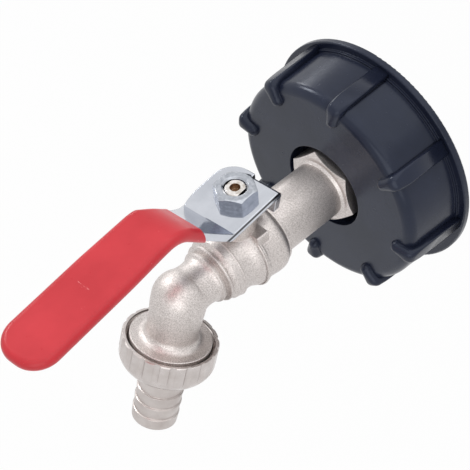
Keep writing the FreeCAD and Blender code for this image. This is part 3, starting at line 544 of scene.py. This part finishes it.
def grip_bars(material):
    """The cap's flat-topped bars, which fold over its edge and end on its face in round tips."""
    over_face = BAR_TIP - BAR_KNUCKLE
    turn_over_edge = math.atan2(-over_face.x, over_face.y)
    stations = wall_stations(turn_over_edge) + face_stations(over_face, turn_over_edge)
    mesh = bmesh.new()
    for k in range(GRIP_BARS):
        around = Matrix.Rotation(math.radians(GRIP_BAR_PHASE + 360 / GRIP_BARS * k), 4, "Z")
        rows = []
        for core, turn, half, rise, edge in stations:
            row = []
            for width, height in bar_section(half, rise, edge):
                point = Vector((core.x + height * math.cos(turn), width, core.y + height * math.sin(turn)))
                row.append(mesh.verts.new(around @ point))
            rows.append(row)
        skin(mesh, rows)
    bmesh.ops.remove_doubles(mesh, verts=mesh.verts, dist=WELD_DISTANCE)
    bmesh.ops.recalc_face_normals(mesh, faces=mesh.faces)
    for face in mesh.faces:
        face.smooth = True
    piece = add_mesh("grip_bars", mesh, material)
    piece.data.transform(ALONG_PIPE)
    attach(piece, "valve")


def ridge_rows(mesh, along, radius, free):
    """Sections round one ridge from the top and back to it; it sinks away where the top stays free."""
    reach = 180.0 - free
    rows = []
    for step in range(RIDGE_STEPS + 1 if free else RIDGE_STEPS):
        angle = (2 * step / RIDGE_STEPS - 1) * reach
        share = max(RIDGE_END_SHARE, min(1.0, (reach - abs(angle)) / RIDGE_FADE)) if free else 1.0
        sideways = math.sin(math.radians(angle))
        down = math.cos(math.radians(angle))
        row = []
        for across in range(RIDGE_ARC_STEPS + 1):
            turn = math.pi * across / RIDGE_ARC_STEPS
            out = radius - RIDGE_SINK + (RIDGE_RISE + RIDGE_SINK) * share * math.sin(turn)
            row.append(mesh.verts.new((out * sideways, RIDGE_HALF * math.cos(turn) - along, -out * down)))
        rows.append(row)
    return rows


def cast_ridges(material):
    """The crisp edges of the casting's rings, as thin rounded ridges."""
    mesh = bmesh.new()
    for along, radius, free in RIDGES.values():
        skin(mesh, ridge_rows(mesh, along, radius, free), joined=not free, smooth=RIDGE_ARC_STEPS)
    bmesh.ops.recalc_face_normals(mesh, faces=mesh.faces)
    piece = add_mesh("cast_ridges", mesh, material)
    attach(piece, "valve")


def middle_of(name):
    """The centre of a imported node's box in its own coordinates."""
    corners = [Vector(corner) for corner in frame["nodes"][name].bound_box]
    return sum(corners, Vector()) / len(corners)


def dress_nodes(materials):
    """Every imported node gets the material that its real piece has."""
    looks = {
        "cap_shell": "plastic", "tank_gasket": "rubber", "hex_washer": "rubber", "inlet_connector": "nickel",
        "body_ring": "seat", "valve_body": "nickel", "inlet_seat": "seat", "outlet_seat": "seat",
        "ball": "chrome", "stem": "brass", "thrust_washer": "seat", "stem_rings": "rubber",
        "lever_plate": "lever", "lever_sleeve": "sleeve", "lever_nut": "zinc", "union_nut": "pressed",
        "tail_washer": "rubber", "hose_tail": "turned",
    }
    for name, look in looks.items():
        node = frame["nodes"][name]
        node.data.materials.clear()
        node.data.materials.append(materials[look])


def camera():
    data = bpy.data.cameras.new("photo_camera")
    data.lens = CAMERA_LENS
    data.sensor_width = CAMERA_SENSOR
    data.clip_start = CAMERA_NEAR
    placed = add_object("photo_camera", data)
    turn = Matrix((CAMERA_RIGHT, CAMERA_UP, CAMERA_BACK)).transposed().to_4x4()
    placed.matrix_world = Matrix.Translation(CAMERA_AT) @ turn
    bpy.context.scene.camera = placed


def lamp(name, direction, size, power):
    """A soft square lamp that looks at the part from a direction."""
    toward = Vector(direction).normalized()
    data = bpy.data.lights.new(name, "AREA")
    data.shape = "SQUARE"
    data.size = size
    data.energy = power
    placed = add_object(name, data)
    placed.location = LAMP_TARGET + toward * LAMP_DISTANCE
    placed.rotation_euler = toward.to_track_quat("Z", "Y").to_euler()


def seen(tree):
    """One where the camera, a reflection or a clear piece looks, so that all of them see white."""
    rays = new_node(tree, "LightPath").outputs
    reflected = calculate(tree, "MAXIMUM", rays["Is Camera Ray"], rays["Is Glossy Ray"])
    return calculate(tree, "MAXIMUM", reflected, rays["Is Transmission Ray"])


def world():
    """White where it is seen; its light on the part comes from grey walls and a white ceiling."""
    made = bpy.data.worlds.new("studio")
    made.use_nodes = True
    bpy.context.scene.world = made
    tree = made.node_tree
    share = seen(tree)
    height = remap(tree, axis(tree, "Generated", "Z"), -1.0, 1.0)
    walls = ramp(tree, height, [(WALL_END, GREY_WALL), (CEILING_START, WHITE)])
    fill(tree, tree.nodes["Background"], {
        "Color": mix(tree, share, walls, (*WHITE, 1)),
        "Strength": remap(tree, share, 0.0, 1.0, WORLD_FILL, 1.0),
    })


def pale_floor():
    """Nearly white where it is seen, and dull enough to take the part's shadow."""
    made, tree, shader = new_material("pale_floor")
    fill(tree, shader, {"Base Color": (FLOOR_PALE, FLOOR_PALE, FLOOR_PALE, 1), "Roughness": FLOOR_ROUGHNESS})
    glow = new_node(tree, "Emission", {"Color": (*WHITE, 1)})
    share = calculate(tree, "MULTIPLY", seen(tree), FLOOR_GLOW)
    both = new_node(tree, "MixShader", {"Fac": share, 1: shader.outputs["BSDF"], 2: glow.outputs["Emission"]})
    fill(tree, tree.nodes["Material Output"], {"Surface": both.outputs["Shader"]})
    return made


def floor():
    mesh = bmesh.new()
    bmesh.ops.create_grid(mesh, x_segments=1, y_segments=1, size=FLOOR_SIZE)
    piece = add_mesh("floor", mesh, pale_floor())
    piece.location = (0, 0, cad_box[0][2] - FLOOR_DROP)


materials = {
    "plastic": black_plastic(),
    "nickel": satin_nickel(),
    "pressed": pressed_nickel(),
    "turned": turned_nickel(),
    "chrome": chrome_plate("chrome_plate", side_shade=False),
    "lever": chrome_plate("lever_chrome", side_shade=True),
    "zinc": zinc_nut(),
    "sleeve": red_sleeve(),
    "rubber": black_rubber(),
    "seat": seat_plastic(),
    "brass": plated_brass(middle_of("stem")),
}
dress_nodes(materials)
cap_thread(materials["plastic"])
grip_bars(materials["plastic"])
cast_ridges(materials["nickel"])
camera()
world()
floor()
lamp("key", direction=(0.2, 0.1, 1.0), size=1.4, power=4.0)
lamp("left", direction=(-1.0, -0.1, 0.8), size=0.22, power=1.5)
lamp("front", direction=(0.9, -1.0, 0.4), size=0.7, power=1.9)
lamp("rear", direction=(-0.82, 0.42, 0.40), size=0.16, power=0.5)
bpy.context.scene.view_settings.view_transform = "Standard"
